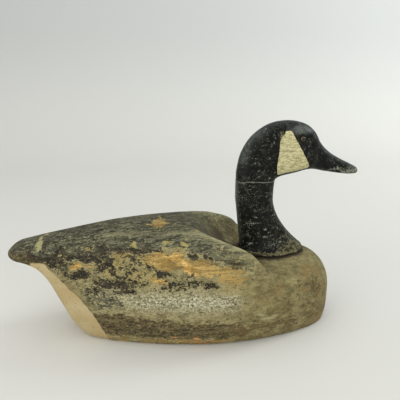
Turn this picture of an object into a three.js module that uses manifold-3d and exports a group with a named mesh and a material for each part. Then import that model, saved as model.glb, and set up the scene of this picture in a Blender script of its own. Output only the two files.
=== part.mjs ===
// A carved wooden goose decoy: a solid body trimmed flat below, a neck that stands on the breast,
// a head glued on top of the neck, and two small glass eyes.
// Millimetres, +Z up. The bird looks along +X, and Y = 0 is its plane of symmetry.
import * as THREE from 'three';
import { LoftGeometry } from 'three/addons/geometries/LoftGeometry.js';
import { mergeVertices } from 'three/addons/utils/BufferGeometryUtils.js';
import Module from 'manifold-3d';

const { lerp, smoothstep, clamp } = THREE.MathUtils;

// Driving dimensions of the body. X is counted from the tip of the tail.
const bodyLength = 580;
const bodyWidth = 223;
const backHeight = 204.5; // crest of the back above the flat underside
const deckHeight = 142; // top of the breast, where the neck stands
const tailHeight = 157; // middle of the rounded tip of the tail
const breastHeight = 46; // foremost point of the breast
const hullDepth = 34; // how far the rounded hull would reach below the flat underside
const tailRounding = 24; // length over which the tip of the tail is rounded
const breastRounding = 260; // length over which the breast narrows, seen from above
const deckRounding = 104; // length over which the breast curves down from the deck
const keelRounding = 36; // length over which the breast curves in below
const notchLead = 100; // how far behind the neck the wings part
const notchLength = 166; // from there to where the wings run out beside the breast
const notchDescent = 0.66; // share of that length over which the floor between them comes down

// Driving dimensions of the neck, which stands on the deck.
const breastReach = 181; // from the back of the neck to the foremost point of the breast
const neckHeight = 127.5; // from the top of the breast to the glue line under the head
const neckDepth = 68; // front to back at its waist
const neckWidth = 50;
const waistDrop = 33.5; // how far below the glue line the neck is narrowest
const throatFlare = 2; // how far the front comes out again towards the head
const footLean = 10; // how far the back of the neck leans forwards on its way down
const footReach = 61; // how far the foot would flare forwards by the top of the breast
const footWidth = 98;
const footRise = 54; // height over which the sides flare
const footSink = 22; // how far below the top of the breast the sides stop flaring
const footHollow = 5; // how deep the breast is hollowed beside the foot
const neckRoot = 45; // how far the blank reaches below the deck before it is fitted to the body

// Driving dimensions of the head and its eyes.
const headLength = 223.5; // nape to tip of the bill
const headWidth = 58;
const billWidth = 29;
const eyeDiameter = 10;
const eyeProtrusion = 1.8;
const eyeStation = 0.43; // share of the way along the head's jaw and crown lines
const eyeShare = 0.69; // share of the way from the jaw line up to the crown line

const glueGap = 0.3; // between pieces that are glued together
const socketGap = 0.3; // between an eye and its socket

// Places that follow from the sizes above.
const neckBack = bodyLength - breastReach;
const jointHeight = deckHeight + neckHeight;
const jointDepth = neckDepth + throatFlare;
const waistHeight = jointHeight - waistDrop;

// The sides head for a little more than the body's width, which the breast's rounding takes off again.
const sideSwell = 1.033;

// Fullness of the rounded forms: 2 is an ellipse, and more is boxier.
const wingPower = 2.8;
const deckPower = 2.2;
const hullPower = 2.6;
const breastPower = 2.7;
const neckPower = 2.3;
const rimPower = 16; // the higher, the crisper the rim of the notch
const footPower = 3;

// Shape of the neck's foot.
const footSweepPower = 1.8; // how the front gathers pace on its way forwards into the foot
const footEnd = 0.96; // share of the way down at which the foot stops flaring, in a blunt lip
const footWidestShare = 0.66; // how far back the foot is widest, as a share of its length

// How finely the carved surfaces are cut into facets.
const bodyRingCount = 70;
const bodySideCount = 48;
const neckRingCount = 18;
const headRingCount = 32;
const neckSideCount = 30;
const eyeSideCount = 14;
const rimPoint = 7; // which of a ring's points runs along the notch's rim, counted from the side
const rimReach = 0.5; // how far beyond the notch the points are drawn towards its rim, in its lengths
const rimLimit = 0.93; // how near to the side the rim may draw them, as a share of the half-width

// A smooth curve y(x) through [x, y] knots that never swings past them: cubic pieces whose
// slope at each knot is the harmonic mean of the slopes beside it.
function curveThrough(knots) {
  const slope = (i) => (knots[i + 1][1] - knots[i][1]) / (knots[i + 1][0] - knots[i][0]);
  const last = knots.length - 1;
  const tangents = knots.map((knot, i) => {
    if (i === 0) return slope(0);
    if (i === last) return slope(last - 1);
    const before = slope(i - 1);
    const after = slope(i);
    return before * after <= 0 ? 0 : (2 * before * after) / (before + after);
  });
  return (x) => {
    const inside = clamp(x, knots[0][0], knots[last][0]);
    const found = knots.findIndex((knot) => knot[0] >= inside);
    const i = Math.max(found, 1) - 1;
    const width = knots[i + 1][0] - knots[i][0];
    const s = (inside - knots[i][0]) / width;
    return knots[i][1] * (1 + 2 * s) * (1 - s) ** 2
      + tangents[i] * width * s * (1 - s) ** 2
      + knots[i + 1][1] * s ** 2 * (3 - 2 * s)
      + tangents[i + 1] * width * s ** 2 * (s - 1);
  };
}

// 1 well inside a piece, falling to 0 at its end as a superellipse does over the rounding's length.
function roundedEnd(distanceToEnd, rounding, power) {
  const s = clamp(1 - distanceToEnd / rounding, 0, 1);
  return (1 - s ** power) ** (1 / power);
}

// Height of a superellipse of half-width 1 and height 1 over the place across, from -1 to 1.
function archHeight(across, power) {
  return Math.max(0, 1 - Math.abs(across) ** power) ** (1 / power);
}

// Body: the outlines below are shares of the body's own length, width and heights.
const backLine = curveThrough([
  [0, 0.2], [0.06, 0.34], [0.17, 0.6], [0.32, 0.88], [0.44, 0.97], [0.54, 1], [0.58, 1.01],
  [0.63, 1.07], [0.67, 1.08], [0.705, 1.03], [0.76, 0.5], [0.83, -0.1], [1, -0.6],
]);
const undersideLine = curveThrough([
  [0, 0.97], [0.05, 0.94], [0.085, 0.88], [0.12, 0.73], [0.15, 0.5], [0.19, 0.24], [0.235, 0.11],
  [0.32, 0.03], [0.45, 0], [0.75, 0], [0.9, 0.01], [1, 0.06],
]);
const widestLine = curveThrough([
  [0, 0.97], [0.1, 0.9], [0.2, 0.72], [0.32, 0.58], [0.5, 0.52], [0.8, 0.5], [1, 0.36],
]);
const planLine = curveThrough([
  [0, 0.26], [0.05, 0.33], [0.12, 0.43], [0.22, 0.56], [0.34, 0.73], [0.48, 0.89], [0.62, 0.98],
  [0.72, 1], [1, 1],
]);

function bodyHalfWidth(x) {
  const ends = roundedEnd(x, tailRounding, 2) * roundedEnd(bodyLength - x, breastRounding, 2);
  return (bodyWidth / 2) * sideSwell * planLine(x / bodyLength) * ends;
}

// Height of the body's widest point at a station.
function widestHeight(x) {
  return tailHeight * widestLine(x / bodyLength);
}

// The wings part in a notch that opens forwards round the neck, with a flat floor and curved walls.
// Half the width of its floor and of its rim, as shares of half the body's width, along its length.
const floorLine = curveThrough([[0, 0], [0.3, 0.1], [0.6, 0.34], [0.74, 0.44], [0.86, 0.46], [1, 0.85]]);
const rimLine = curveThrough([
  [0, 0.54], [0.18, 0.56], [0.27, 0.618], [0.34, 0.67], [0.41, 0.715], [0.505, 0.762], [0.605, 0.797],
  [0.735, 0.84], [0.82, 0.875], [0.91, 0.96], [1, 1.2],
]);

// Share of the notch's length at a station: below 0 behind it, and above 1 in front of it.
function notchPlace(x) {
  return (x - neckBack + notchLead) / notchLength;
}

// 1 on the wings and 0 on the deck. The wall rises with the square of the way from floor to rim.
function wingShare(x, y) {
  const place = notchPlace(x);
  const floor = (bodyWidth / 2) * floorLine(place);
  const rim = (bodyWidth / 2) * rimLine(place);
  const up = Math.max(0, Math.abs(y) - floor) / (rim - floor);
  const wall = up ** 2 / (1 + up ** (2 * rimPower)) ** (1 / rimPower);
  return 1 - smoothstep(place, 0, notchDescent) * (1 - wall);
}

// Depth of the shallow hollow on each side of the neck's foot.
function hollowDepth(x, y) {
  const reach = footWidth / 2;
  const across = Math.max(0, 1 - ((Math.abs(y) - reach) / reach) ** 2) ** 2;
  const footStart = neckBack + neckDepth;
  return footHollow * across * (1 - smoothstep(x, footStart, footStart + footReach));
}

// Height of the body's upper surface over a point of the plan.
function topHeight(x, y, halfWidth) {
  const tailRound = roundedEnd(x, tailRounding, 2);
  const breastRound = roundedEnd(bodyLength - x, deckRounding, breastPower);
  const wide = widestHeight(x);
  const back = tailHeight + (backHeight - tailHeight) * backLine(x / bodyLength);
  const deck = breastHeight + (deckHeight - breastHeight) * breastRound;
  const wings = wingShare(x, y);
  const crest = lerp(deck, back, wings);
  const arch = archHeight(y / halfWidth, lerp(deckPower, wingPower, wings));
  return wide + ((crest - wide) * tailRound - hollowDepth(x, y) * (1 - wings)) * arch;
}

// Height of the rounded hull below, before the underside is trimmed flat.
function hullHeight(x, y, halfWidth) {
  const tailRound = roundedEnd(x, tailRounding, 2);
  const breastRound = roundedEnd(bodyLength - x, keelRounding, breastPower);
  const wide = widestHeight(x);
  const low = -hullDepth + (tailHeight + hullDepth) * undersideLine(x / bodyLength);
  return wide - (wide - low) * tailRound * breastRound * archHeight(y / halfWidth, hullPower);
}

// A place across the upper side, from -1 to 1, drawn sideways so that one point of every ring
// stays on the rim of the notch.
function drawnToRim(across, x) {
  const place = notchPlace(x);
  const beside = smoothstep(place, -rimReach, 0) * (1 - smoothstep(place, 1, 1 + rimReach));
  const rim = Math.min(((bodyWidth / 2) * rimLine(place)) / bodyHalfWidth(x), rimLimit);
  const evenly = Math.cos((rimPoint / bodySideCount) * 2 * Math.PI);
  const target = lerp(evenly, rim, beside);
  const out = Math.abs(across);
  const moved = out < evenly ? (out * target) / evenly : 1 - ((1 - out) * (1 - target)) / (1 - evenly);
  return Math.sign(across) * moved;
}

// One ring round the body. Its points are closest together at the two sides.
function bodyRing(x, grow) {
  const halfWidth = bodyHalfWidth(x);
  const ring = [];
  for (let j = 0; j < bodySideCount; j++) {
    const even = Math.cos((j / bodySideCount) * 2 * Math.PI);
    const upper = j <= bodySideCount / 2;
    const across = upper ? drawnToRim(even, x) : even;
    const y = across * halfWidth;
    const z = upper ? topHeight(x, y, halfWidth) + grow : hullHeight(x, y, halfWidth) - grow;
    ring.push(new THREE.Vector3(x, y + across * grow, z));
  }
  return ring;
}

// The hull from tail to breast, with stations closest together at the two rounded ends.
function hullGeometry(grow = 0) {
  const rings = [];
  for (let i = 1; i < bodyRingCount; i++) {
    const share = (1 - Math.cos((i / bodyRingCount) * Math.PI)) / 2;
    rings.push(bodyRing(share * bodyLength, grow));
  }
  return new LoftGeometry(rings, { closed: true, capStart: true, capEnd: true });
}

// One ring round the neck or head, from its front or lower point to its back or upper point.
// The widest place lies at the given share of the way.
function ringBetween(front, back, halfWidth, widestShare, power) {
  const ring = [];
  for (let j = 0; j < neckSideCount; j++) {
    const angle = (j / neckSideCount) * 2 * Math.PI;
    const across = Math.sign(Math.cos(angle)) * Math.abs(Math.cos(angle)) ** (2 / power);
    const rise = Math.sign(Math.sin(angle)) * Math.abs(Math.sin(angle)) ** (2 / power);
    const middle = front.clone().lerp(back, widestShare + rise * (rise > 0 ? 1 - widestShare : widestShare));
    ring.push(new THREE.Vector3(middle.x, across * halfWidth, middle.y));
  }
  return ring;
}

// The neck blank: level sections whose front sweeps out into the foot.
function neckGeometry() {
  const rings = [];
  const bottom = deckHeight - neckRoot;
  const top = jointHeight - glueGap;
  for (let i = 0; i <= neckRingCount; i++) {
    const z = lerp(bottom, top, i / neckRingCount);
    const flare = clamp((waistHeight - z) / (waistHeight - deckHeight), 0, footEnd);
    const throat = Math.max(0, (z - waistHeight) / waistDrop);
    const sideFlare = clamp(1 - (z - deckHeight + footSink) / footRise, 0, 1);
    const sweep = footReach * flare ** footSweepPower;
    const front = new THREE.Vector2(neckBack + neckDepth + throatFlare * throat ** 2 + sweep, z);
    const back = new THREE.Vector2(neckBack + footLean * flare, z);
    const halfWidth = lerp(neckWidth, footWidth, sideFlare ** 2) / 2;
    const widestShare = lerp(0.5, footWidestShare, sideFlare);
    rings.push(ringBetween(front, back, halfWidth, widestShare, lerp(neckPower, footPower, sideFlare)));
  }
  return new LoftGeometry(rings, { closed: true, capStart: true, capEnd: true });
}

// The head's two profile lines, as matched pairs of points that fan round the throat. The jaw line
// runs from the throat along the underside of the bill, in shares of what the head reaches beyond
// the neck. The crown line runs from the nape over the forehead, in shares of the head's length.
const jawShares = [
  [0, 0], [0.01, 0.009], [0.033, 0.018], [0.083, 0.03], [0.156, 0.04], [0.243, 0.054],
  [0.324, 0.07], [0.403, 0.077], [0.485, 0.07], [0.585, 0.054], [0.72, 0.038], [0.855, 0.028],
  [0.942, 0.029], [0.988, 0.046],
];
const crownShares = [
  [0, 0], [0.004, 0.084], [0.04, 0.224], [0.12, 0.349], [0.25, 0.439], [0.4, 0.466],
  [0.53, 0.442], [0.611, 0.384], [0.676, 0.282], [0.755, 0.208], [0.85, 0.152], [0.93, 0.114],
  [0.975, 0.089], [0.995, 0.068],
];
const cheekStation = 0.42; // where the head is widest
const billTipShare = 0.16; // the rounded tip of the bill
const billTipBlunt = 0.3; // width left at the very tip
const headWidthLine = curveThrough([
  [0, 0], [0.12, 0.15], [0.3, 0.8], [cheekStation, 1], [0.5, 0.9], [0.6, 0.35], [0.7, 0.08], [1, 0],
]);

// A smooth line through points given as shares of a reach beyond a start and of the head's length.
function profileCurve(shares, start, reach) {
  return new THREE.SplineCurve(shares.map(([along, up]) => (
    new THREE.Vector2(start + along * reach, jointHeight + up * headLength)
  )));
}

const jawLine = profileCurve(jawShares, neckBack + jointDepth, headLength - jointDepth);
const crownLine = profileCurve(crownShares, neckBack, headLength);

// Half-width of the head at a share of the way along its two lines: from the neck's width out to
// the cheeks, then in to the bill's width.
function headHalfWidth(s) {
  const narrow = s < cheekStation ? neckWidth : billWidth;
  return lerp(narrow, headWidth, headWidthLine(s)) / 2;
}

// The widest place lies at mid-height over the neck and lower in the face, where the cheeks are.
function headWidestShare(s) {
  return lerp(0.5, 0.38, smoothstep(s, 0, cheekStation));
}

function headGeometry() {
  const rings = [];
  for (let i = 0; i <= headRingCount; i++) {
    const s = i / headRingCount;
    const halfWidth = headHalfWidth(s) * Math.max(roundedEnd(1 - s, billTipShare, 2), billTipBlunt);
    const low = jawLine.getPoint(s);
    const high = crownLine.getPoint(s);
    rings.push(ringBetween(low, high, halfWidth, headWidestShare(s), neckPower));
  }
  return new LoftGeometry(rings, { closed: true, capStart: true, capEnd: true });
}

const wasm = await Module();
wasm.setup();

// A closed geometry as a solid that can be joined and cut.
function solidOf(geometry) {
  const bare = new THREE.BufferGeometry();
  bare.setAttribute('position', geometry.attributes.position);
  bare.setIndex(geometry.index);
  const merged = mergeVertices(bare);
  return new wasm.Manifold(new wasm.Mesh({
    numProp: 3,
    vertProperties: merged.attributes.position.array,
    triVerts: new Uint32Array(merged.index.array),
  }));
}

// A solid turned back into a geometry that a mesh can show.
function geometryOf(solid) {
  const mesh = solid.getMesh();
  const geometry = new THREE.BufferGeometry();
  geometry.setAttribute('position', new THREE.BufferAttribute(mesh.vertProperties, 3));
  geometry.setIndex(new THREE.BufferAttribute(mesh.triVerts, 1));
  geometry.computeVertexNormals();
  return geometry;
}

// A block that holds everything below the flat underside.
function groundBlock() {
  const block = new THREE.BoxGeometry(3 * bodyLength, 3 * bodyWidth, 2 * backHeight);
  return solidOf(block.translate(0, 0, -backHeight));
}

// An eye sits where it shows by its protrusion at the head's surface.
function eyePlace(side) {
  const middle = jawLine.getPoint(eyeStation).lerp(crownLine.getPoint(eyeStation), eyeShare);
  const widestShare = headWidestShare(eyeStation);
  const rise = (eyeShare - widestShare) / (1 - widestShare);
  const across = headHalfWidth(eyeStation) * archHeight(rise, neckPower);
  return new THREE.Vector3(middle.x, side * (across - eyeDiameter / 2 + eyeProtrusion), middle.y);
}

function eyeGeometry(side, radius) {
  const { x, y, z } = eyePlace(side);
  return new THREE.SphereGeometry(radius, eyeSideCount, eyeSideCount / 2 + 2).translate(x, y, z);
}

const body = solidOf(hullGeometry()).subtract(groundBlock());
const neck = solidOf(neckGeometry()).subtract(solidOf(hullGeometry(glueGap)));
let head = solidOf(headGeometry());
for (const side of [-1, 1]) {
  head = head.subtract(solidOf(eyeGeometry(side, eyeDiameter / 2 + socketGap)));
}

const wornPaint = new THREE.MeshStandardMaterial({ color: 0x6b664c, roughness: 0.85, metalness: 0 });
const blackPaint = new THREE.MeshStandardMaterial({ color: 0x20221f, roughness: 0.55, metalness: 0 });
const darkGlass = new THREE.MeshStandardMaterial({ color: 0x1a140c, roughness: 0.1, metalness: 0 });

const goose = new THREE.Group();

function addPiece(name, geometry, material) {
  const mesh = new THREE.Mesh(geometry, material);
  mesh.name = name;
  goose.add(mesh);
}

addPiece('body', geometryOf(body), wornPaint);
addPiece('neck', geometryOf(neck), blackPaint);
addPiece('head', geometryOf(head), blackPaint.clone());
addPiece('eye_right', eyeGeometry(-1, eyeDiameter / 2), darkGlass);
addPiece('eye_left', eyeGeometry(1, eyeDiameter / 2), darkGlass.clone());

// The origin lies on the ground under the middle of the whole bird.
const box = new THREE.Box3().setFromObject(goose);
goose.position.x = -(box.min.x + box.max.x) / 2;

export default goose;
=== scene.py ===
# %% [markdown]
# # A carved goose decoy
#
# A full-size goose, carved from wood for hunting over and then painted: one solid body trimmed flat
# below, a neck that stands on the breast, a head glued on top of the neck and two small glass eyes.
# Years of use have flaked the paint down to the wood along the flank and rubbed the edges bare.
#
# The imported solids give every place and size. This lesson lays a finer carved surface over each of
# them, made with numpy from the same kind of curves, and gives it old paint made of shader nodes.

# %% Load the solids
import bpy
import numpy as np
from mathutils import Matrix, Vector


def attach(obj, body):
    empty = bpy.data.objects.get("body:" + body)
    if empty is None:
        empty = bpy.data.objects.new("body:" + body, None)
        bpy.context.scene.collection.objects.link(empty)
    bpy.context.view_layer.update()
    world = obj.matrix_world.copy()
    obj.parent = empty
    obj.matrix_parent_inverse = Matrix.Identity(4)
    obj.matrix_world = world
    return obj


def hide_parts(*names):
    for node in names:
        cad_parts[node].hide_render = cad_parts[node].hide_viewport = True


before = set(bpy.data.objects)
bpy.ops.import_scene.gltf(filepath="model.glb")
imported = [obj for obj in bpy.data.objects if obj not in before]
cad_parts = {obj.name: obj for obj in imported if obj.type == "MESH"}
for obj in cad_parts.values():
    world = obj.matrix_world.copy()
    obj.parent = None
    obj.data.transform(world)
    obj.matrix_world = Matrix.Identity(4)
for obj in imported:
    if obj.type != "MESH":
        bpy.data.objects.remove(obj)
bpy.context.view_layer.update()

MM = 0.001


def in_mm(places):
    """Places given in metres, as lists of millimetres to print."""
    return (np.array(places) / MM).round(1).tolist()


def put_in_scene(name, data, where=(0, 0, 0), aim=None):
    """An object made of its data and linked to the scene; it stands where it is told and faces the aim."""
    thing = bpy.data.objects.new(name, data)
    bpy.context.scene.collection.objects.link(thing)
    thing.location = where
    if aim is not None:
        thing.rotation_euler = (Vector(aim) - Vector(where)).to_track_quat("-Z", "Y").to_euler()
    return thing


# %% [markdown]
# ## The camera
#
# The decoy is seen nearly from the side and a little from above, close enough that the near shoulder
# looms larger than the far one. A camera could be aimed by eye, but the distance and the focal length
# trade against each other, so both were worked out from where the outline, the two shoulder ridges
# and the flat bottom edge lie. It looks at a point above the back, from slightly behind the middle.

# %% Place the camera
AIM = Vector((24.7, 0.0, 235.0)) * MM
DISTANCE = 850 * MM
AZIMUTH, ELEVATION = np.radians(-7), np.radians(17)
lens = bpy.data.cameras.new("camera")
lens.sensor_width = 36
lens.lens = 43.2
level_reach = np.cos(ELEVATION)
away = Vector((np.sin(AZIMUTH) * level_reach, -np.cos(AZIMUTH) * level_reach, np.sin(ELEVATION)))
camera = put_in_scene("camera", lens, AIM + away * DISTANCE, AIM)
bpy.context.scene.camera = camera
print("camera at", in_mm(camera.location))

# %% [markdown]
# ## Shared mathematics
#
# A carver works from templates: one outline seen from the side, one seen from above, and a feeling
# for how full each section is. The same three things are functions here. `curve_through` draws a
# fair line through a few chosen points, `rounded_end` rounds the end of a piece, and `arch` is the
# section, a superellipse that is an ellipse at power 2 and grows boxier above it. Three more helpers
# serve the small forms: `ease` fades one form into another, `bell` raises a soft bump, and `wobble`
# makes a surface look worked by hand.

# %% Curves, roundings and sections
def curve_through(knots):
    """A smooth y(x) through the knots that never swings past them.

    Between two knots it is a cubic whose slope at each knot is the harmonic mean of the slopes beside it.
    """
    xs, ys = np.array(knots, float).T
    rise = np.diff(ys) / np.diff(xs)
    before, after = rise[:-1], rise[1:]
    bends = before * after > 0
    inner = np.where(bends, 2 * before * after / np.where(bends, before + after, 1), 0)
    slopes = np.concatenate([rise[:1], inner, rise[-1:]])

    def height(x):
        x = np.clip(x, xs[0], xs[-1])
        i = np.clip(np.searchsorted(xs, x) - 1, 0, len(xs) - 2)
        width = xs[i + 1] - xs[i]
        s = (x - xs[i]) / width
        straight = ys[i] * (1 + 2 * s) * (1 - s) ** 2 + ys[i + 1] * s ** 2 * (3 - 2 * s)
        return straight + width * (slopes[i] * s * (1 - s) ** 2 - slopes[i + 1] * s ** 2 * (1 - s))
    return height


def mix(a, b, share):
    """a at share 0 and b at share 1, in a straight line between."""
    return a + (b - a) * share


def ease(x, low, high):
    """0 below low and 1 above high, with an S-shaped way between: 3 s squared minus 2 s cubed."""
    s = np.clip((x - low) / (high - low), 0, 1)
    return s * s * (3 - 2 * s)


def rounded_end(distance, rounding, power=2.0):
    """1 inside a piece, falling to 0 at its end as a superellipse does over the rounding's length."""
    s = np.clip(1 - distance / rounding, 0, 1)
    return (1 - s ** power) ** (1 / power)


def arch(across, power):
    """Height of a superellipse of half-width 1 and height 1 over the place across."""
    return np.maximum(0, 1 - np.abs(across) ** power) ** (1 / power)


def bell(away, width):
    """1 at distance 0 and less on both sides: e to the power of minus the square of away over width."""
    return np.exp(-(away / width) ** 2)


def wobble(*phases):
    """A calm hand-made unevenness between -1 and 1: the mean of sines of the given phases."""
    return sum(np.sin(phase) for phase in phases) / len(phases)


# %% [markdown]
# ## From points to a closed mesh
#
# Body, neck, head and eyes are all made of rings: rows of points that go once round the piece, one
# row behind the other. One helper, `closed_tube`, turns such an array into a mesh. It joins
# neighbouring rings with four-sided faces, closes each end with a fan round a middle point, and hands
# the points back, so that later cells can work out where paint has worn away. A piece that comes out
# inside out is turned. `paint_maps` keeps what those cells find on the mesh.

# %% From numbers to a piece
def new_piece(name, points, faces):
    """An object with a smooth-shaded mesh in the scene; its points are given in millimetres."""
    mesh = bpy.data.meshes.new(name)
    mesh.from_pydata((points * MM).tolist(), [], faces)
    mesh.polygons.foreach_set("use_smooth", np.ones(len(faces), bool))
    return put_in_scene(name, mesh)


def quads(here, beside):
    """Four-sided faces from each row of point numbers to the next, and from each number to its neighbour."""
    return np.stack([here[:-1], here[1:], beside[1:], beside[:-1]], -1).reshape(-1, 4)


def turned_outwards(mesh):
    """Turns the faces round if the mesh encloses a negative volume; returns the volume in litres.

    The volume is a sixth of the sum of a . (b x c) over the triangles with the corners a, b and c.
    """
    mesh.calc_loop_triangles()
    corners, triangles = np.empty(len(mesh.vertices) * 3), np.empty(len(mesh.loop_triangles) * 3, int)
    mesh.vertices.foreach_get("co", corners)
    mesh.loop_triangles.foreach_get("vertices", triangles)
    a, b, c = corners.reshape(-1, 3)[triangles.reshape(-1, 3)].transpose(1, 0, 2)
    volume = np.einsum("ij,ij->i", a, np.cross(b, c)).sum() / 6
    if volume < 0:
        mesh.flip_normals()
    return abs(volume) * 1000


def closed_tube(name, rings):
    """A closed mesh from an array of rings (ring, column, xyz), given in millimetres.

    Columns close on themselves. The first and last ring are capped with a fan round their mean point.
    """
    count, columns = rings.shape[:2]
    middles = np.stack([rings[0].mean(0), rings[-1].mean(0)])
    points = np.concatenate([rings.reshape(-1, 3), middles])
    number = np.arange(count * columns).reshape(count, columns)
    beside = np.roll(number, -1, axis=1)
    walls = quads(number, beside)
    first = np.stack([np.full(columns, len(points) - 2), number[0], beside[0]], -1)
    last = np.stack([np.full(columns, len(points) - 1), beside[-1], number[-1]], -1)
    piece = new_piece(name, points, walls.tolist() + first.tolist() + last.tolist())
    litres, (low, high) = turned_outwards(piece.data), (points.min(0).round(1), points.max(0).round(1))
    print(f"{name}: {2 * len(walls) + 2 * columns} triangles, {litres:.3f} litres, {low} to {high} mm")
    return piece, points


def ring_normals(rings):
    """Unit normals of a ring surface: the cross product of its two directions at each point."""
    along = np.gradient(rings, axis=0)
    round_it = np.roll(rings, -1, axis=1) - np.roll(rings, 1, axis=1)
    normals = np.cross(round_it, along)
    normals /= np.linalg.norm(normals, axis=-1, keepdims=True) + 1e-9
    outwards = rings - rings.mean(1, keepdims=True)
    return normals * np.sign((normals * outwards).sum(-1).mean())


def paint_maps(piece, **maps):
    """Keeps one number per point and map on the mesh, for the materials to read."""
    for name, values in maps.items():
        layer = piece.data.attributes.new(name, "FLOAT", "POINT")
        layer.data.foreach_set("value", np.full(len(layer.data), values, np.float32))
    print(f"{piece.name} has the maps", *maps)


# %% [markdown]
# ## The body
#
# The body is one block of wood. Its back rises from the tail to a crest and then parts into two wing
# shoulders round the neck, the breast drops lower in front, and the hull rounds in below to a flat
# underside. It could be sculpted, but a carver's templates are lines, so it is worked out as lines:
# for each station along the body there is a half-width, the height of the widest place, an arch
# above it and an arch below it. A soft floor then planes everything under the ground line flat.

# %% The body's sizes and lines, in millimetres from the tip of the tail
body_length, body_width = 580, 223
back_height, deck_height, tail_height, breast_height = 204.5, 142, 157, 46
hull_depth, tail_rounding, breast_rounding, deck_rounding, keel_rounding = 34, 24, 260, 104, 36
notch_lead, notch_length, notch_descent, rim_softness = 100, 166, 0.66, 16
breast_reach, neck_height, neck_depth, neck_width = 181, 127.5, 68, 50
foot_reach, foot_width, foot_hollow = 61, 98, 5
side_swell = 1.033
neck_back = body_length - breast_reach
joint_height = deck_height + neck_height

back_line = curve_through([
    (0, 0.2), (0.06, 0.34), (0.17, 0.6), (0.32, 0.88), (0.44, 0.97), (0.54, 1), (0.58, 1.01), (0.63, 1.07),
    (0.67, 1.08), (0.705, 1.03), (0.76, 0.5), (0.83, -0.1), (1, -0.6)])
underside_line = curve_through([
    (0, 0.97), (0.05, 0.94), (0.085, 0.88), (0.12, 0.73), (0.15, 0.5), (0.19, 0.24), (0.235, 0.11),
    (0.32, 0.03), (0.45, 0), (0.75, 0), (0.9, 0.01), (1, 0.06)])
widest_line = curve_through([
    (0, 0.97), (0.1, 0.9), (0.2, 0.72), (0.32, 0.58), (0.5, 0.52), (0.8, 0.5), (1, 0.36)])
plan_line = curve_through([
    (0, 0.26), (0.05, 0.33), (0.12, 0.43), (0.22, 0.56), (0.34, 0.73), (0.48, 0.89), (0.62, 0.98),
    (0.72, 1), (1, 1)])
rim_line = curve_through([
    (0, 0.54), (0.18, 0.56), (0.27, 0.618), (0.34, 0.67), (0.41, 0.715), (0.505, 0.762), (0.605, 0.797),
    (0.735, 0.84), (0.82, 0.875), (0.91, 0.96), (1, 1.2)])
floor_line = curve_through([(0, 0), (0.3, 0.1), (0.6, 0.34), (0.74, 0.44), (0.86, 0.46), (1, 0.85)])


# %% The body's height above and below its widest place
def body_half_width(x):
    """Half the body's width: the plan's line times the rounding of the tail and of the breast."""
    ends = rounded_end(x, tail_rounding) * rounded_end(body_length - x, breast_rounding)
    return body_width / 2 * side_swell * plan_line(x / body_length) * ends


def wing_share(x, y):
    """1 on the wings and 0 on the deck. A notch with a flat floor and curved walls opens between them.

    The wall rises with the square of the way from the floor's edge to the rim, which is a soft ridge.
    """
    along = (x - neck_back + notch_lead) / notch_length
    floor, rim = body_width / 2 * floor_line(along), body_width / 2 * rim_line(along)
    up = np.maximum(0, np.abs(y) - floor) / (rim - floor)
    wall = up ** 2 / (1 + up ** (2 * rim_softness)) ** (1 / rim_softness)
    return 1 - ease(along, 0, notch_descent) * (1 - wall)


def top_height(x, y):
    """Height of the upper surface: an arch from the widest place up to the back or the deck."""
    half_width = np.maximum(body_half_width(x), 1e-6)
    wide = tail_height * widest_line(x / body_length)
    back = mix(tail_height, back_height, back_line(x / body_length))
    deck = mix(breast_height, deck_height, rounded_end(body_length - x, deck_rounding, 2.7))
    wings = wing_share(x, y)
    rise = (mix(deck, back, wings) - wide) * rounded_end(x, tail_rounding)
    beside_foot = np.maximum(0, 1 - ((np.abs(y) - foot_width / 2) / (foot_width / 2)) ** 2) ** 2
    foot_start = neck_back + neck_depth
    hollow = foot_hollow * beside_foot * (1 - ease(x, foot_start, foot_start + foot_reach))
    return wide + (rise - hollow * (1 - wings)) * arch(y / half_width, mix(2.2, 2.8, wings))


HULL_POWER = 2.6


def hull_drop(x):
    """The widest place's height, and how far the hull drops from there, less at the rounded ends."""
    wide = tail_height * widest_line(x / body_length)
    low = mix(-hull_depth, tail_height, underside_line(x / body_length))
    ends = rounded_end(x, tail_rounding) * rounded_end(body_length - x, keel_rounding, 2.7)
    return wide, (wide - low) * ends


def hull_height(x, y):
    """Height of the rounded hull: an arch from the widest place down to the underside's line."""
    wide, drop = hull_drop(x)
    return wide - drop * arch(y / np.maximum(body_half_width(x), 1e-6), HULL_POWER)


def flat_half_width(x):
    """Half-width of the flat underside: where the hull's arch reaches the ground."""
    wide, drop = hull_drop(x)
    share = np.minimum(1, wide / drop)
    return body_half_width(x) * (1 - share ** HULL_POWER) ** (1 / HULL_POWER)


# %% [markdown]
# The rings' columns are no even grid. They crowd towards the sides, where the surface turns down,
# and one of them is drawn to the rim of each wing, so that the ridge there stays crisp.

# %% Where the body's columns of points run, over the top and below
stations, top_columns, side_columns, flat_columns, columns_to_rim = 380, 120, 50, 24, 40
END_SHARE, LEAST_FLAT, CROWDED, OUTERMOST_RIM = 1 / 70, 0.3, 1.4, 0.93
turn = np.pi * np.linspace(END_SHARE, 1 - END_SHARE, stations)[:, None]
x = body_length * (1 - np.cos(turn)) / 2
half = body_half_width(x)
edge = np.maximum(flat_half_width(x), LEAST_FLAT * half)

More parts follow.
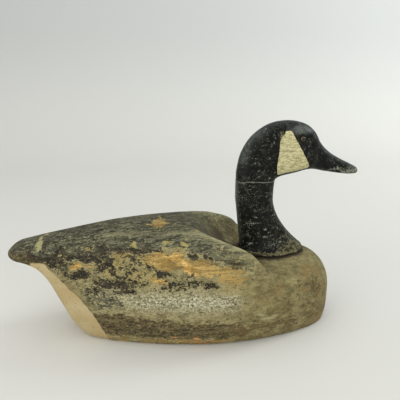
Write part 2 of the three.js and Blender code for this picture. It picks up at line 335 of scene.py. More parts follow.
u = np.linspace(-1, 1, top_columns, endpoint=False)[None, :]
evenly = np.cos(np.pi / 2 * (1 - np.abs(u)) ** CROWDED)
at_rim = evenly[0, columns_to_rim]
along = (x - neck_back + notch_lead) / notch_length
beside_notch = ease(along, -0.5, 0) * (1 - ease(along, 1, 1.5))
target = mix(at_rim, np.minimum(body_width / 2 * rim_line(along) / half, OUTERMOST_RIM), beside_notch)
outside = 1 - (1 - evenly) * (1 - target) / (1 - at_rim)
top_y = half * np.sign(-u) * np.where(evenly < at_rim, evenly * target / at_rim, outside)
v = np.linspace(0, 1, side_columns, endpoint=False)[None, :]
edge_turn = np.arccos(np.clip(edge / np.maximum(half, 1e-6), 0, 1))
right_y, left_y = (half * np.cos(edge_turn * share ** CROWDED) for share in (v, 1 - v))
flat_y = edge * np.linspace(-1, 1, flat_columns, endpoint=False)[None, :]
bottom_y = np.concatenate([-right_y, flat_y, left_y], axis=1)
print("columns over the top and below:", top_y.shape[1], bottom_y.shape[1])

# %% The body's rings
y = np.concatenate([top_y, bottom_y], axis=1)
z = np.concatenate([top_height(x, top_y), hull_height(x, bottom_y)], axis=1)
EDGE_ROUNDING = 3.0
z = (z + np.sqrt(z ** 2 + EDGE_ROUNDING ** 2)) / 2
rings = np.stack([np.broadcast_to(x, y.shape), y, z], -1)
print("body rings:", rings.shape)

# %% [markdown]
# A machine would leave the block perfectly fair. A drawknife and a rasp leave broad, shallow
# unevenness that only the highlights show, and handling leaves the bottom edge slightly dented. Both
# go into the shape as a small push inwards, so that the body never grows past its solid.

# %% Give the body its tool marks and put it in place
normals = ring_normals(rings)
px, py, pz = np.moveaxis(rings, -1, 0)
fair = wobble(
    px / 23 + py / 31, px / 37 - pz / 19 + 1.3, py / 17 + pz / 29 + px / 90, px / 11 + pz / 43 + 2.1)
dents = wobble(px / 7.1 + py / 40, px / 4.3 + 2.0, px / 13.7 + py / 11)
push = 0.55 * (1 + fair) / 2 + 0.9 * bell(pz - 4, 7) * np.clip(dents, 0, 1)
rings = rings - normals * push[..., None] * (pz > 1.5)[..., None]
origin_shift = 310.85
rings[..., 0] -= origin_shift
body, body_points = closed_tube("carved_body", rings)

# %% [markdown]
# ## The neck
#
# The neck is a block of its own that leans back a little, is narrowest below the joint and flares
# forwards into a foot on the breast. Where it meets the body the old filler has broken away into a
# ragged lip with a dark crack below. Its sections are level superellipses; each column of points
# starts where the flared side meets the breast, which is found by halving the interval again and
# again for all columns at once.

# %% The neck's surface
neck_power, waist_drop, throat_flare, foot_lean, foot_rise, foot_sink = 2.3, 33.5, 2, 10, 54, 22
foot_power, foot_sweep_power, foot_end, foot_widest = 3, 1.8, 0.96, 0.66
waist_height = joint_height - waist_drop


def section(front, back, half_width, angle, widest, power=neck_power):
    """A superellipse from a front point to a back point, widest at a share of the way between them."""
    across = np.sign(np.cos(angle)) * np.abs(np.cos(angle)) ** (2 / power)
    rise = np.sign(np.sin(angle)) * np.abs(np.sin(angle)) ** (2 / power)
    share = widest + rise * np.where(rise > 0, 1 - widest, widest)
    return mix(front, back, share), across * half_width


def neck_plan(height, angle):
    """Where the neck's skin lies at a height: the front flares with a power of the way down."""
    flare = np.clip((waist_height - height) / (waist_height - deck_height), 0, foot_end)
    throat = np.maximum(0, (height - waist_height) / waist_drop)
    side_flare = np.clip(1 - (height - deck_height + foot_sink) / foot_rise, 0, 1)
    front = neck_back + neck_depth + throat_flare * throat ** 2 + foot_reach * flare ** foot_sweep_power
    back = neck_back + foot_lean * flare
    half_width = mix(neck_width, foot_width, side_flare ** 2) / 2
    widest, power = mix(0.5, foot_widest, side_flare), mix(neck_power, foot_power, side_flare)
    return section(front, back, half_width, angle, widest, power)


neck_columns, lowest_foot, halvings = 220, deck_height - 45, 30
neck_angle = 2 * np.pi * np.arange(neck_columns) / neck_columns
low_end, high_end = np.full(neck_columns, float(lowest_foot)), np.full(neck_columns, float(joint_height))
for halving in range(halvings):
    middle = (low_end + high_end) / 2
    inside = middle < top_height(*neck_plan(middle, neck_angle))
    low_end, high_end = np.where(inside, middle, low_end), np.where(inside, high_end, middle)
foot_height = low_end
print("the neck meets the body from", foot_height.min().round(1), "to", foot_height.max().round(1), "mm up")

# %% [markdown]
# The lip at the foot stands out a millimetre or two, and its lower edge is bitten away here and
# there, which is what makes the dark crack. The rings of the neck run from the broken edge up to the
# glue line; three more rings turn in under the foot and follow the breast, so the piece is closed.

# %% The neck's rings
turn = neck_angle
ragged = wobble(turn * 9, turn * 17 + 1, turn * 31 + 2, turn * 53 + 0.5)
crack = 0.8 + 2.2 * np.clip(ragged + 0.2, 0, 1)
GLUE_GAP = 0.3
foot = foot_height + crack
wall = np.linspace(0, 1, 200)[:, None] ** 1.25
height = mix(foot, joint_height - GLUE_GAP, wall)
wall_x, wall_y = neck_plan(height, turn)
rings = np.stack([wall_x, wall_y, height], -1)
normals = ring_normals(rings)
above = height - foot
torn = wobble(turn * 23 + height / 5, turn * 41 - height / 3, turn * 13 + height / 9)
lip = (1.2 + 1.1 * torn) * bell(above, 4.5) * ease(above, -0.5, 1.2)
fair = wobble(height / 17 + turn * 2, height / 29 - turn * 3, height / 11 + turn * 5)
rings = rings + normals * (lip - 0.25 * (1 + fair) * ease(above, 4, 20))[..., None]
centre = np.array([neck_back + neck_depth / 2 + 10, 0])
under = []
for share in (0.97, 0.85, 0.4):
    inner = centre + (rings[0, :, :2] - centre) * share
    level = top_height(inner[:, 0], inner[:, 1]) + GLUE_GAP
    under.append(np.concatenate([inner, level[:, None]], 1))
rings = np.concatenate([np.stack(under[::-1]), rings])
rings[..., 0] -= origin_shift
neck, neck_points = closed_tube("carved_neck", rings)

# %% [markdown]
# ## The head
#
# The head was sawn out by a side template and then rounded. Its two profile lines, the jaw line
# from the throat out to the bill and the crown line from the nape over the forehead, are matched
# point by point, and a ring is strung between each pair. The face needs what a loft can't give, so
# small pushes are added: a hollow round the eye, a lid, a brow above it and a flatter bill.

# %% The head's lines
head_length, head_width, bill_width = 223.5, 58, 29
joint_depth = neck_depth + throat_flare
jaw_shares = np.array([
    (0, 0), (0.01, 0.009), (0.033, 0.018), (0.083, 0.03), (0.156, 0.04), (0.243, 0.054), (0.324, 0.07),
    (0.403, 0.077), (0.485, 0.07), (0.585, 0.054), (0.72, 0.038), (0.855, 0.028), (0.942, 0.029),
    (0.988, 0.046)])
crown_shares = np.array([
    (0, 0), (0.004, 0.084), (0.04, 0.224), (0.12, 0.349), (0.25, 0.439), (0.4, 0.466), (0.53, 0.442),
    (0.611, 0.384), (0.676, 0.282), (0.755, 0.208), (0.85, 0.152), (0.93, 0.114), (0.975, 0.089),
    (0.995, 0.068)])
cheek_station, bill_tip_share, bill_tip_blunt = 0.42, 0.16, 0.3
head_width_line = curve_through([
    (0, 0), (0.12, 0.15), (0.3, 0.8), (cheek_station, 1), (0.5, 0.9), (0.6, 0.35), (0.7, 0.08), (1, 0)])


def profile(shares, start, reach):
    """Points given as shares become millimetres beyond a start and above the glue line."""
    return np.stack([start + shares[:, 0] * reach, joint_height + shares[:, 1] * head_length], -1)


def along_points(points, s):
    """A smooth line through points: each span is a cubic whose end slopes follow the points around."""
    place = np.asarray(s) * (len(points) - 1)
    i = np.clip(place.astype(int), 0, len(points) - 2)
    t = (place - i)[..., None]
    behind, ahead = points[np.maximum(i - 1, 0)], points[np.minimum(i + 2, len(points) - 1)]
    here, there = points[i], points[i + 1]
    leave, arrive = (there - behind) / 2, (ahead - here) / 2
    return ((2 * here - 2 * there + leave + arrive) * t ** 3
            + (-3 * here + 3 * there - 2 * leave - arrive) * t ** 2 + leave * t + here)


jaw = profile(jaw_shares, neck_back + joint_depth, head_length - joint_depth)
crown = profile(crown_shares, neck_back, head_length)


def head_half_width(s):
    """From the neck's width out to the cheeks, then in to the bill's width."""
    narrow = np.where(s < cheek_station, neck_width, bill_width)
    return mix(narrow, head_width, head_width_line(s)) / 2


def head_widest(s):
    """Where a ring is widest, as a share of the way from the jaw to the crown: low in the face."""
    return mix(0.5, 0.38, ease(s, 0, cheek_station))


# %% The head's rings
head_stations, head_columns = 300, 170
s = np.linspace(0, 1, head_stations)[:, None]
angle = 2 * np.pi * np.arange(head_columns)[None, :] / head_columns
half = head_half_width(s) * np.maximum(rounded_end(1 - s, bill_tip_share), bill_tip_blunt)
low_line, high_line = along_points(jaw, s), along_points(crown, s)
plane_x, across = section(low_line[..., 0], high_line[..., 0], half, angle, head_widest(s))
plane_z, _ = section(low_line[..., 1], high_line[..., 1], half, angle, head_widest(s))
rings = np.stack([plane_x, across, plane_z], -1)
print("head rings:", rings.shape)

# %% Where the eyes sit
eye_diameter, eye_protrusion, eye_station, eye_share = 10, 1.8, 0.43, 0.69
eye_low, eye_high = along_points(jaw, eye_station), along_points(crown, eye_station)
eye_x, eye_z = mix(eye_low, eye_high, eye_share)
eye_rise = (eye_share - head_widest(eye_station)) / (1 - head_widest(eye_station))
eye_y = head_half_width(eye_station) * arch(eye_rise, neck_power) - eye_diameter / 2 + eye_protrusion
print("eye centre:", round(eye_x - origin_shift, 1), round(float(eye_y), 1), round(eye_z, 1))

# %% Carve the face
normals = ring_normals(rings)
px, py, pz = np.moveaxis(rings, -1, 0)
ahead, over = px - eye_x, pz - eye_z
from_eye = np.hypot(ahead, over * 1.15)
hollow = -1.5 * bell(from_eye, 10)
lid = 1.1 * bell(from_eye - 6.3, 1.5) * ease(over, -7, 3)
brow = 1.6 * bell(over - 9 - 0.15 * ahead, 4.5) * bell(ahead - 3, 17)
lores = -1.3 * bell(ahead - 26, 12) * bell(over + 18, 11)
on_side = ease(np.abs(py), 8, 15)
fair = wobble(px / 13 + pz / 19, px / 21 - pz / 9 + py / 14, pz / 15 + py / 8 + 1)
out = px - neck_back
bill = ease(out, 150, 175)
worn_bill = wobble(px / 3.1, px / 5.3 + pz / 4, pz / 2.7 + px / 9) * ease(out, 185, 215)
push = (hollow + lid + brow + lores) * on_side - 0.2 * (1.5 + fair) - 0.35 * (1 + worn_bill) * bill
rings = rings + normals * push[..., None]
rings[0] = np.stack([plane_x[0], across[0], plane_z[0]], -1)
rings[..., 0] -= origin_shift
head, head_points = closed_tube("carved_head", rings)

# %% [markdown]
# ## The eyes
#
# Each eye is a small ball of dark glass with a brown iris behind it. A sphere could be taken ready
# made, but here it is a grid of rings about the sideways axis, so that each point knows how far it
# is from the middle of the pupil. The material uses that number for pupil, iris and rim.

# %% Two glass eyes
def glass_eye(name, side):
    """A ball as rings about the Y axis; the distance from the pupil is kept as a share of half a turn."""
    away_from_pupil = np.pi * np.linspace(0.02, 0.98, 40)[:, None]
    round_it = 2 * np.pi * np.arange(56)[None, :] / 56
    radius = eye_diameter / 2
    ball = np.stack([
        eye_x - origin_shift + radius * np.sin(away_from_pupil) * np.cos(round_it),
        side * (eye_y + radius * np.cos(away_from_pupil)) + 0 * round_it,
        eye_z + radius * np.sin(away_from_pupil) * np.sin(round_it)], -1)
    piece, points = closed_tube(name, ball)
    outwards = side * points[:, 1] - eye_y
    paint_maps(piece, from_pupil=np.arccos(np.clip(outwards / radius, -1, 1)) / np.pi)
    return piece


eyes = {"eye_right": glass_eye("glass_eye_right", -1), "eye_left": glass_eye("glass_eye_left", 1)}

# %% [markdown]
# ## Where the paint has gone
#
# Old decoys lose paint where they are handled and where they rub in a boat: along the flank, on the
# bottom edge, at the tail's tip and at the foot of the neck. Noise alone would scatter wear evenly,
# so each layer of paint gets a map, one number per point of the mesh, that says how much of it is
# left there. The maps are soft; the material breaks them up into flakes. The near side follows the
# worn places of this decoy. The far side has bare places of its own, and its flakes and stains are
# the near side's, moved along and frayed in another way.

# %% Soft spots, lines and random clouds
def cloud(points, size, seed):
    """Soft random values from 0 to 1: random numbers at the corners of cubes, eased from corner to corner."""
    table = np.random.default_rng(seed).random((32, 32, 32))
    place_in = points / size
    corner = np.floor(place_in).astype(int)
    share = place_in - corner
    share = share * share * (3 - 2 * share)
    total = np.zeros(len(points))
    for step in np.ndindex(2, 2, 2):
        weight = np.prod(np.where(step, share, 1 - share), axis=1)
        total += weight * table[tuple(((corner + step) % 32).T)]
    return total


def drift(points, reach, size, seed):
    """A random cloud centred on 0, with half the reach to either side."""
    return reach * (cloud(points, size, seed) - 0.5)


def shaken(points, reach, size, seed):
    """The points moved about by two random clouds, the second half as large: it frays every edge."""
    moved = points.copy()
    for axis in range(3):
        for part in (1, 2):
            moved[:, axis] += reach / part * (2 * cloud(points, size / part, seed + 7 * axis + part) - 1)
    return moved


def spot(points, centre, reach, tilt=0.0, soft=0.5):
    """1 in an ellipsoid and 0 outside: its edge lies at a distance of 1, counted in its three reaches.

    The tilt turns it about the Y axis, in degrees, nose down for a positive number.
    """
    away_x, away_y, away_z = (points - np.array(centre, float)).T
    c, si = np.cos(np.radians(tilt)), np.sin(np.radians(tilt))
    along_it, over_it = away_x * c - away_z * si, away_x * si + away_z * c
    distance = np.sqrt((along_it / reach[0]) ** 2 + (away_y / reach[1]) ** 2 + (over_it / reach[2]) ** 2)
    return 1 - ease(distance, 1 - soft, 1 + soft)


def marks(points, *rows, soft=0.5):
    """The strongest of several soft ellipsoids; each row gives a strength, a centre and three reaches."""
    return strongest(*(strength * spot(points, centre, reach, soft=soft) for strength, centre, reach in rows))


def from_line(points, line):
    """Distance to a line of straight spans: the least distance to any span."""
    line = np.array(line, float)
    found = np.full(len(points), np.inf)
    for a, b in zip(line[:-1], line[1:]):
        share = np.clip((points - a) @ (b - a) / ((b - a) @ (b - a)), 0, 1)
        found = np.minimum(found, np.linalg.norm(points - a - share[:, None] * (b - a), axis=1))
    return found


def strongest(*maps):
    """The larger of several maps, point by point."""
    return np.max(np.stack(np.broadcast_arrays(*maps)), axis=0)


# %% The body's points, seen from both sides
def side_marks(points, *rows, soft=0.5):
    """The strongest of several soft ellipses, drawn on the body as it is seen from the side.

    Each row gives x, z, the reach along, the reach up, the tilt in degrees nose down, and the strength.
    """
    return strongest(*(strength * spot(points, (x, 0, z), (along, FAR_AWAY, up), tilt, soft)
                       for x, z, along, up, tilt, strength in rows))


P = body_points
X, Y, Z = P.T
FAR_AWAY = 1e4
near = np.where((Y < 25)[:, None], shaken(P, 3.2, 14, 10), FAR_AWAY)
far = np.where((Y > -25)[:, None], shaken(P, 4, 17, 50), FAR_AWAY)
both = np.where((Y < 0)[:, None], near, far + [24, 0, -3])
front = ease(X - 0.35 * (Z - 100) + drift(P, 34, 24, 3), 60, 116)
deck = (1 - wing_share(X + origin_shift, Y)) * (Z > 60)
print("points on the near side:", int((Y < 0).sum()))

# %% Bare wood, and where it glows orange
back_star = marks(
    near, (1, (-51, -19, 201), (13, 19, 12)), (0.9, (-47, 4, 203), (3, 20, 12)),
    (0.8, (-62, -26, 201), (14, 5, 12)), (0.9, (-51, -36, 199), (5, 9, 12)),
    (0.9, (-41, -24, 201), (8, 5, 12)))
bare = strongest(
    side_marks(near, (-36, 160, 36, 13, 4, 1), (12, 150, 42, 13, 12, 1), (58, 136, 38, 15, 13, 0.68),
               (-55, 128, 16, 6, 3, 1), (-188, 145, 11, 4.5, -8, 1), (-168, 148, 9, 3, 0, 0.8)),
    back_star * (Z > 190),
    side_marks(far, (-30, 152, 60, 14, 6, 0.85), (60, 120, 26, 10, -10, 0.7), (-160, 172, 22, 9, 0, 0.7)))
bare = bare * (0.8 + 0.4 * cloud(P, 8, 21))
glow = strongest(
    side_marks(near, (-30, 166, 15, 5, 18, 1), (-16, 158, 15, 6, 38, 1), (-4, 147, 13, 8, 48, 1),
               (12, 150, 18, 7, 10, 0.35), (34, 143, 16, 7, 14, 0.3), (-50, 159, 14, 5, 10, 0.45),
               (-55, 129, 15, 5, 3, 1), (-188, 146, 10, 5, -6, 0.8)),
    0.25 * back_star, side_marks(far, (-30, 154, 22, 8, 0, 0.5)))
edge_worn = 1 - ease(Z + drift(P, 9, 14, 31), 12, 26)
orange_edge = side_marks(both, (-33, 22, 5, 1.8, 4, 1), (7, 20, 3.4, 5, 0, 1.2), (12, 9, 40, 2.4, 0, 0.55))
tail_worn = 1 - ease(X + drift(P, 10, 10, 33), -308, -296)
print("bare wood over", round(100 * float((bare > 0.5).mean()), 1), "percent of the points")

# %% What is left of the black flakes
calm = ease(X, 0, 36) * (1 - front) * (1 - side_marks(near, (14, 187, 28, 6, 10, 0.85)))
flaked = strongest(
    side_marks(
        both, (-220, 152, 28, 16, 8, 0.58), (-160, 163, 36, 12, -8, 0.66), (-204, 136, 18, 9, 20, 0.56),
        (-180, 131, 19, 9, 4, 0.6), (-134, 119, 36, 9, 2, 0.56), (-122, 131, 10, 5, 0, 0.6),
        (-138, 153, 19, 6, -54, 0.66), (-97, 174, 32, 5, 2, 0.58), (-58, 173, 16, 5, 2, 0.66),
        (-92, 157, 14, 10, 0, 0.54), (-94, 146, 13, 4.5, 4, 0.58), (-114, 147, 7, 6, 0, 0.58),
        (-65, 153, 8, 7, 0, 0.6), (-38, 141, 20, 5, 8, 0.48), (-33, 126, 16, 5, 2, 0.5),
        (-12, 122, 15, 8, 0, 0.48), (8, 125, 14, 6, 0, 0.46), (29, 123, 17, 7.5, 0, 0.5),
        (-102, 118, 10, 8, 0, 0.56), (-110, 108, 20, 7, 8, 0.48), (56, 121, 24, 6, 0, 0.4),
        (-160, 106, 40, 10, 6, 0.28), (-158, 90, 30, 16, 4, 0.16)),
    side_marks(near, (2, 168, 11, 3.2, 14, 1.3), (23, 164, 14, 1.6, 4, 0.8), (33, 162, 4, 6, 0, 0.5)),
    0.3 * ease(Z, 104, 116) * (1 - ease(Z, 176, 190)) * (1 - 0.7 * calm),
    0.22 * ease(Z, 168, 180) * (1 - calm), 0.3 * ease(-X, 90, 130) * ease(Z, 84, 110), 0.06)
flaked = flaked + 0.04 * ease(-X, 50, 90) * ease(Z, 96, 110) + drift(P, 0.24, 13, 41)
flaked = flaked * (1 - 0.8 * front) * (1 - 0.4 * deck)
flaked = strongest(flaked, side_marks(both, (-257, 155, 15, 6, -4, 1.5)))
print("black flakes, mean share left:", round(float(flaked.clip(0, 1).mean()), 2))

# %% The dark coat of the back, and the chips in it
coat_line = curve_through([
    (-312, 150), (-250, 155), (-217, 157), (-180, 156), (-142, 158), (-122, 171), (-67, 176), (-20, 177),
    (2, 171), (22, 164), (42, 158), (60, 150), (90, 141), (120, 130)])
shoulder = ease(X, 0, 50) * (1 - ease(Z, 176, 186))
back = ease(Z + drift(P, 9, 15, 43) - coat_line(X), -5, 6)
back = back * (1 - front) * (1 - 0.5 * deck) * (1 - 0.34 * shoulder)
chips = strongest(
    side_marks(near, (-94, 182, 7, 2, -4, 0.62), (-92, 177, 5, 1.6, 10, 0.6), (-11, 184, 8, 2.4, 10, 0.68),
               (-6, 189, 3, 2.4, 50, 0.68), (-212, 163, 8, 2.6, 0, 0.7), (-40, 186, 7, 2, 0, 0.6),
               (-170, 175, 26, 2.5, -4, 0.5), (-20, 180, 14, 2, 6, 0.4)),
    0.75 * spot(near, (13, -48, 196), (6, 7, 8)))
back = strongest(back - chips, side_marks(both, (-154, 90, 42, 22, 4, 0.58)))
print("the back's coat, mean share left:", round(float(back.clip(0, 1).mean()), 2))

# %% The chalky bloom, the brown stain with painted shade under the tail, and the warmer primer
chalk = bell(Z - 91 + drift(P, 10, 22, 45), 18)
chalk = chalk * ease(-X, -105, -55) * ease(X, -190, -125) * (0.5 + 0.5 * ease(X, -135, -50))
stain_top = 62 - 12 * ease(X, -110, 0) + drift(P, 8, 20, 47)
stain = ease(stain_top - Z, -9, 7) * (0.25 + 0.75 * ease(Z, 12, 27))
stain = stain * (1 - 0.6 * ease(X, 40, 130)) * ease(X, -180, -160)
stain = strongest(stain, side_marks(
    both, (198, 99, 20, 6, 6, 0.6), (205, 56, 16, 5, 0, 0.6), (222, 96, 9, 15, 10, 0.52),
    (228, 76, 12, 16, 0, 0.6), (98, 36, 28, 11, 0, 0.64), (140, 34, 24, 9, 0, 0.62),
    (126, 133, 9, 8, 50, 0.4), (74, 152, 12, 9, 0, 0.75), (56, 150, 14, 7, 0, 0.4),
    # The last mark, under the tail, is painted shade.
    (-286, 150, 32, 12, -4, 1.3)))
warm = side_marks(
    both, (212, 112, 20, 9, 0, 1), (196, 88, 14, 5, 0, 0.8), (234, 92, 9, 20, 8, 0.8),
    (150, 62, 18, 10, 0, 0.5), (146, 100, 16, 12, 0, 0.7), (232, 18, 20, 12, 0, 0.9),
    (240, 60, 10, 40, 0, 0.6), (-115, 168, 14, 5, 0, 0.6), (120, 88, 14, 14, 0, 0.4))
yellow = strongest(chips, side_marks(
    both, (-112, 166, 14, 7, 0, 1), (-128, 148, 20, 13, -45, 1), (-84, 132, 28, 17, 0, 0.7),
    (76, 112, 26, 14, 0, 0.8), (-78, 160, 12, 8, 0, 0.7)))
print("bloom and stain laid on:", round(float(chalk.max()), 2), round(float(stain.max()), 2))

# %% The cream rump and the bar on the tail
RUMP_TOP, RUMP_BACK = 148.5, -266
rump_line = curve_through([
    (0, -141), (12, -146), (25, -151), (40, -158), (56, -165.5), (71, -174.5), (88, -187), (103, -202),
    (124, -221), (138, -235), (149, -243), (170, -262)])
rump = np.minimum(np.minimum(rump_line(Z) - X, RUMP_TOP - Z), X - RUMP_BACK)
beside_rump = bell(np.maximum(0, -rump), 14) * (rump < 2) * (1 - ease(Z, 122, 134)) * ease(Z, 70, 96)
tail_bar = marks(
    near, (0.9, (-253, -27, 174), (6, 16, 14)), (0.8, (-252, -4, 176), (4.5, 16, 14)),
    (0.7, (-246, 12, 177), (6, 5, 14)), soft=0.4)
print("cream points:", int((rump > 0).sum()))

# %% The rubbed ridges with a painted highlight, and painted shade in the crack, the hollows and under the tail
rim_x = np.linspace(-22, 128, 26) + origin_shift
rim_y = body_width / 2 * rim_line((rim_x - neck_back + notch_lead) / notch_length)
ridge = np.stack([rim_x - origin_shift, -rim_y, top_height(rim_x, rim_y)], -1)
# A line on the near side of the back along which a painted highlight is laid.
painted_highlight_line = [(-150, -39, 190), (-91, -46, 194.6), (-41, -53, 195.7), (9, -61, 194.7), (28, -68, 191.4)]
on_ridge = bell(from_line(np.stack([X, -np.abs(Y) - 3, Z + 1], -1), ridge), 9) * np.where(Y < 0, 1, 0.5)
# Rubbed paint and a painted highlight: lighter along the rims of the wings, more on the near side, along the
# line above, and in two small rubbed marks low on the near flank.
rubbed = strongest(
    on_ridge * ease(X, -30, 40) * (1 - ease(X, 84, 112)), 0.4 * bell(from_line(near, painted_highlight_line), 5.5),
    side_marks(near, (132, 52, 16, 3, -6, 0.75), (120, 58, 10, 2, 10, 0.6)))
foot_x, foot_y = neck_plan(foot_height, neck_angle)
foot_line = np.stack([foot_x - origin_shift, foot_y, foot_height], -1)
foot_loop = np.concatenate([foot_line[::4], foot_line[:1]])
foot_away = from_line(P, foot_loop)
# Painted shade: darkest in the crack round the neck's foot and spreading behind it, in the hollow between the
# wings by the neck, on the far wing beside the neck, and under the tail.
dirt = strongest(
    1.3 * bell(foot_away, 3 + 4 * cloud(P, 9, 49)) + 0.95 * bell(foot_away, 24) * ease(-X, -160, -96),
    bell(X - 80, 45) * ease(-np.abs(Y), -70, -40) * ease(Z, 135, 150),
    0.5 * spot(P, (92, 72, 154), (12, 30, 20), soft=0.9),
    side_marks(both, (-259, 154, 14, 5, -4, 0.6), (-288, 147, 22, 8, -4, 0.35)))
paint_maps(
    body, bare=bare, glow=glow, edge_worn=edge_worn, orange_edge=orange_edge, tail_worn=tail_worn,
    flaked=flaked, back=back, calm=calm, chalk=chalk, stain=stain, warm=warm, yellow=yellow,
    tail_bar=tail_bar, chips=chips, rubbed=rubbed, rump=rump, beside_rump=beside_rump,
    front=strongest(front, 0.6 * deck), dirt=dirt)

# %% [markdown]
# The black of the neck and head carries a painted grey sheen on the nape and the forehead, and it is
# scuffed under the bill and worn through at the foot. Painted shade darkens it round the eye and along
# the crack at the foot. The cheek patch is a clean painted shape, so it isn't a soft map but a distance:
# positive inside its outline and negative outside, in millimetres. A distance stays sharp between the
# points of a mesh, where a soft map would blur.

# %% The cheek patch and the maps of the head
def inside_outline(x, z, outline, rounding):
    """Signed distance to a convex outline with rounded corners, positive inside.

    The outline's corners run clockwise. Outside, the distance is taken to the shrunk outline's spans.
    """
    outline = np.array(outline, float)
    way = np.roll(outline, -1, axis=0) - outline
    way /= np.linalg.norm(way, axis=1, keepdims=True)
    depth = (x[:, None] - outline[:, 0]) * way[:, 1] - (z[:, None] - outline[:, 1]) * way[:, 0] - rounding
    inward = depth.min(1)
    outward = np.sqrt((np.minimum(depth, 0) ** 2).sum(1))
    return np.where(inward > 0, inward, -outward) + rounding


NO_PATCH = -20.0
cheek_outline = [
    (158.8, 345), (167.5, 357.5), (177.5, 358.5), (213.5, 296), (210, 292), (158, 281), (154.4, 297)]
nape_line = [(98, -13, 308), (101, -11, 322), (108, -8, 336), (118, -8, 348), (132, -9, 358)]
HX, HY, HZ = head_points.T
eye_away = np.hypot(HX - (eye_x - origin_shift), HZ - eye_z)
# A painted grey sheen along the top of the head, down the nape and on the brows.
rub = strongest(
    0.3 * (1 - ease(np.abs(HY), 5, 19)) * ease(HZ, 285, 330),
    0.62 * bell(from_line(head_points, nape_line), 8),
    marks(head_points, *((1, (199, side, 360), (20, 14, 7)) for side in (-19, 19)), soft=0.7))
bill_worn = ease(HX, 232, 268) * (1 - ease(HZ + drift(head_points, 5, 9, 61), 286, 295))
bill_worn = bill_worn * (1 - 0.4 * ease(-np.abs(HY), -9, -3))
cheek_frayed = spot(shaken(head_points, 2, 6, 63), (162, -24, 350), (6, 20, 8), soft=0.6)
cheek = inside_outline(HX, HZ, cheek_outline, 1.5) - 5 * cheek_frayed * cloud(head_points, 4, 69)
paint_maps(
    head, cheek=np.where(np.abs(HY) > 5, cheek, NO_PATCH), scuffed=0.45 + 0.55 * bill_worn,
    rub=rub * ease(eye_away, 6, 11), worn=0.62 * cheek_frayed, dashes=0.58 * bill_worn,
    # On the head the crack map is painted shade: a dark ring round the eye.
    crack=0.75 * (1 - ease(eye_away, 5.5, 8.5)), joint=HZ - joint_height)
print("the cheek patch covers", int((cheek > 0).sum()), "points of the head")

# %% The neck's maps
NX, NY, NZ = neck_points.T
above_foot = from_line(neck_points, foot_loop)
worn_reach = mix(11, 23, ease(NX, 140, 200))
worn = 1 - ease(above_foot + drift(neck_points, 7, 9, 65), 0.6 * worn_reach, 1.3 * worn_reach)
worn = worn * ease(NX + 0.3 * np.abs(NY), 104, 132)
faded = 0.52 * ease(NX - (NZ - 200) * 0.35, 150, 212) * (1 - ease(NZ, 215, 248))
dashes = marks(neck_points, *((0.68, (x, -24, z), (reach, 12, 2)) for x, z, reach in (
    (141, 183, 5), (145, 177, 5), (139, 170, 6), (165, 158.5, 4), (110, 157, 6), (112, 195, 14),
    (121, 206, 3))), soft=0.6)
# Along the crack at the foot the neck is painted near-black, a painted shade that is widest at the back.
crack_wide = 1 + 1.6 * (cloud(neck_points, 7, 67) - 0.35) + 0.9 * (1 - ease(NX, 110, 150))
paint_maps(
    # Down the front and back of the neck the grey is a painted sheen.
    neck, worn=np.maximum(worn, faded), scuffed=1.0, dashes=dashes, rub=0.45 * (1 - ease(np.abs(NY), 5, 17)),
    crack=1 - ease(above_foot, 1.8 * crack_wide, 4 * crack_wide), cheek=NO_PATCH, joint=NZ - joint_height)

# %% [markdown]
# ## Node helpers
#
# Materials here are built in code, from a few helpers. `add` makes a node and fills its sockets with
# numbers or links. `between` is the S-shaped step that turns a grey noise into flakes with a chosen
# edge. `lay` lays coats over one another, each with its masks. A mask is an output socket, a number,
# the name of a map on the mesh, or a noise with the two values between which it steps up. So a row
# of a recipe reads as it would be said: this colour, that strong, where that noise is high.

# %% Colours, nodes and masks
def colour(red, green, blue):
    """A colour as seen on screen, 0 to 255, as the linear light that a shader wants."""
    part = np.array([red, green, blue]) / 255
    linear = np.where(part <= 0.04045, part / 12.92, ((part + 0.055) / 1.055) ** 2.4)
    return (*linear.tolist(), 1.0)


def add(tree, kind, inputs=None, **settings):
    """A new node with its settings; each input is a number or the output socket that feeds it."""
    made = tree.nodes.new(kind)
    for key, value in settings.items():
        setattr(made, key, value)
    for key, value in (inputs or {}).items():
        if isinstance(value, bpy.types.NodeSocket):
            tree.links.new(value, made.inputs[key])
        else:
            made.inputs[key].default_value = value
    return made


def as_mask(tree, given):
    """A map's name becomes that map, and (value, low, high) a step; a socket or a number stays as it is."""
    if isinstance(given, str):
        return add(tree, "ShaderNodeAttribute", attribute_name=given).outputs["Fac"]
    return between(tree, *given) if isinstance(given, tuple) else given


def between(tree, value, low, high):
    """An S-shaped step from 0 to 1 while the value goes from low to high."""
    inputs = {"Value": as_mask(tree, value), "From Min": low, "From Max": high}
    return add(tree, "ShaderNodeMapRange", inputs, interpolation_type="SMOOTHSTEP").outputs["Result"]


def calculate(tree, operation, *values):
    """A Math node; each value may be anything that can be a mask."""
    inputs = dict(enumerate(as_mask(tree, value) for value in values))
    return add(tree, "ShaderNodeMath", inputs, operation=operation).outputs[0]


def summed(tree, total, *rows):
    """A total, plus each row's value times its weight."""
    for value, weight in rows:
        total = calculate(tree, "MULTIPLY_ADD", value, weight, total)
    return total


def frayed(tree, level, reach, noise_value):
    """A level that a noise moves up and down, by half the reach to either side."""
    return summed(tree, level, (calculate(tree, "SUBTRACT", noise_value, 0.5), reach))


# %% Colours laid over one another
def blend(tree, share, under, over):
    """One colour laid over another where the mask is 1."""
    under, over = (colour(*given) if isinstance(given, tuple) else given for given in (under, over))
    inputs = {0: as_mask(tree, share), 6: under, 7: over}
    return add(tree, "ShaderNodeMix", inputs, data_type="RGBA").outputs[2]


